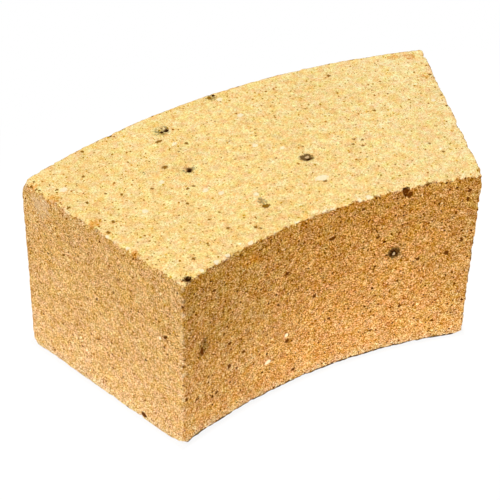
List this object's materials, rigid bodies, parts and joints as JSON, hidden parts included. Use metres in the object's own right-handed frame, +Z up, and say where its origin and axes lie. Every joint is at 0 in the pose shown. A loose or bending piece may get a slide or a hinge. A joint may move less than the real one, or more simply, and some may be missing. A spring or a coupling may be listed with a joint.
{
  "type": "curved refractory firebrick",
  "caption": "Curved refractory firebrick: a ring-sector block with a concave hot face, convex cold face, radial ends and flat beds, for lining round furnaces, ladles and flues.",
  "frame": {"origin": "on the lower bed, under the middle of the brick's box", "axes": "+Z up the axis of the round lining, +Y away from that axis through the middle of the brick, +X along the brick's length; the concave hot face looks along -Y"},
  "size_m": [0.2156, 0.1118, 0.1],
  "materials": {
    "fireclay": "matte"
  },
  "bodies": {
    "root": {"firebrick": "fireclay"}
  },
  "joints": []
}
